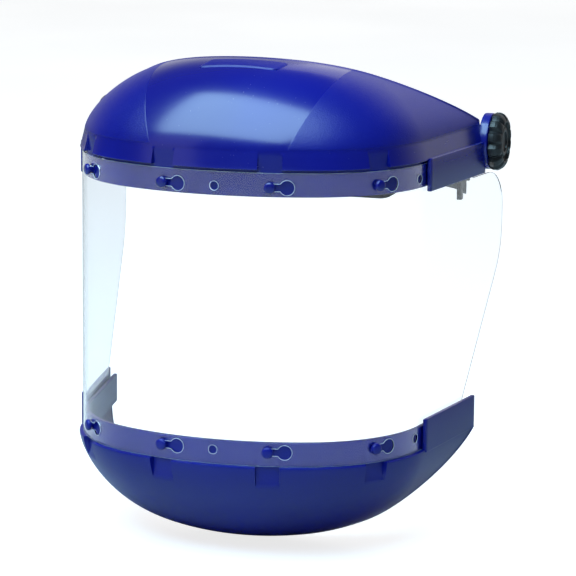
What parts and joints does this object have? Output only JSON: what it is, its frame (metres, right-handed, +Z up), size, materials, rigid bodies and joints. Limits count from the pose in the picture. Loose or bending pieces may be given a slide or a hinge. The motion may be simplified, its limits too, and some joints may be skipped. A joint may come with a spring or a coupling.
{
  "type": "face shield",
  "caption": "Safety face shield: clear curved window held between a blue crown and a chin guard, tilting on a black ratchet headband.",
  "frame": {"origin": "middle of the visor's pivot axis, which is the middle of the head at headband level", "axes": "+Z up, the window faces -Y, +X is the wearer's left"},
  "size_m": [0.253, 0.2772, 0.2784],
  "materials": {
    "blue_shell": "gloss front, fine grain on the sides",
    "clear_window": "clear polycarbonate sheet",
    "black_nylon": "moulded, satin",
    "plated_steel": "zinc plated",
    "black_knob": "moulded, fine grain",
    "brass_insert": "machined",
    "black_band": "moulded flexible strap",
    "pad_cloth": "foam pad in knitted cloth"
  },
  "bodies": {
    "headgear": {"pivot_bolt_left": "plated_steel", "pivot_bolt_right": "plated_steel", "spring_washer_left": "plated_steel", "spring_washer_right": "plated_steel", "pivot_bracket_left": "black_nylon", "pivot_bracket_right": "black_nylon", "bracket_rivets": "black_nylon", "headband": "black_band", "brow_pad": "pad_cloth", "pad_studs": "black_nylon", "nape_strap_left": "black_band", "nape_strap_right": "black_band", "strap_rivets": "black_nylon", "ratchet_base": "black_nylon", "ratchet_cover": "black_nylon", "ratchet_screws": "plated_steel", "detent_spring": "black_nylon", "nape_pad": "pad_cloth", "crown_strap_pivots": "black_nylon"},
    "visor": {"crown": "blue_shell", "window": "clear_window", "chin_guard": "blue_shell", "pivot_bush_left": "black_nylon", "pivot_bush_right": "black_nylon"},
    "left_knob": {"tension_knob_left": "black_knob", "knob_insert_left": "brass_insert"},
    "right_knob": {"tension_knob_right": "black_knob", "knob_insert_right": "brass_insert"},
    "crown_strap": {"crown_strap_left": "black_band", "crown_strap_right": "black_band", "crown_strap_pins": "black_nylon"},
    "ratchet_dial": {"ratchet_knob": "black_knob", "ratchet_pinion": "black_nylon"},
    "left_tail": {"rack_left": "black_band"},
    "right_tail": {"rack_right": "black_band"}
  },
  "joints": [
    {"name": "visor_tilt", "type": "hinge", "parent": "headgear", "child": "visor", "pos_m": [0, 0, 0], "axis": [-1, 0, 0], "range_deg": [0, 65]},
    {"name": "left_knob_turn", "type": "hinge", "parent": "headgear", "child": "left_knob", "pos_m": [0.12, 0, 0], "axis": [1, 0, 0], "range_deg": [0, 270]},
    {"name": "right_knob_turn", "type": "hinge", "parent": "headgear", "child": "right_knob", "pos_m": [-0.12, 0, 0], "axis": [-1, 0, 0], "range_deg": [0, 270]},
    {"name": "crown_strap_fold", "type": "hinge", "parent": "headgear", "child": "crown_strap", "pos_m": [0, 0.008, 0.005], "axis": [1, 0, 0], "range_deg": [0, 96]},
    {"name": "ratchet_turn", "type": "hinge", "parent": "headgear", "child": "ratchet_dial", "pos_m": [0, 0.0968, -0.036], "axis": [0, -1, 0], "range_deg": [0, 105]},
    {"name": "left_tail_slide", "type": "slide", "parent": "headgear", "child": "left_tail", "axis": [-1, 0, 0], "range_m": [0, 0.01]},
    {"name": "right_tail_slide", "type": "slide", "parent": "headgear", "child": "right_tail", "axis": [1, 0, 0], "range_m": [0, 0.01]}
  ],
  "couplings": [
    {"joint": "left_tail_slide", "follows": "ratchet_turn", "m_per_rad": 0.0054},
    {"joint": "right_tail_slide", "follows": "ratchet_turn", "m_per_rad": 0.0054}
  ]
}
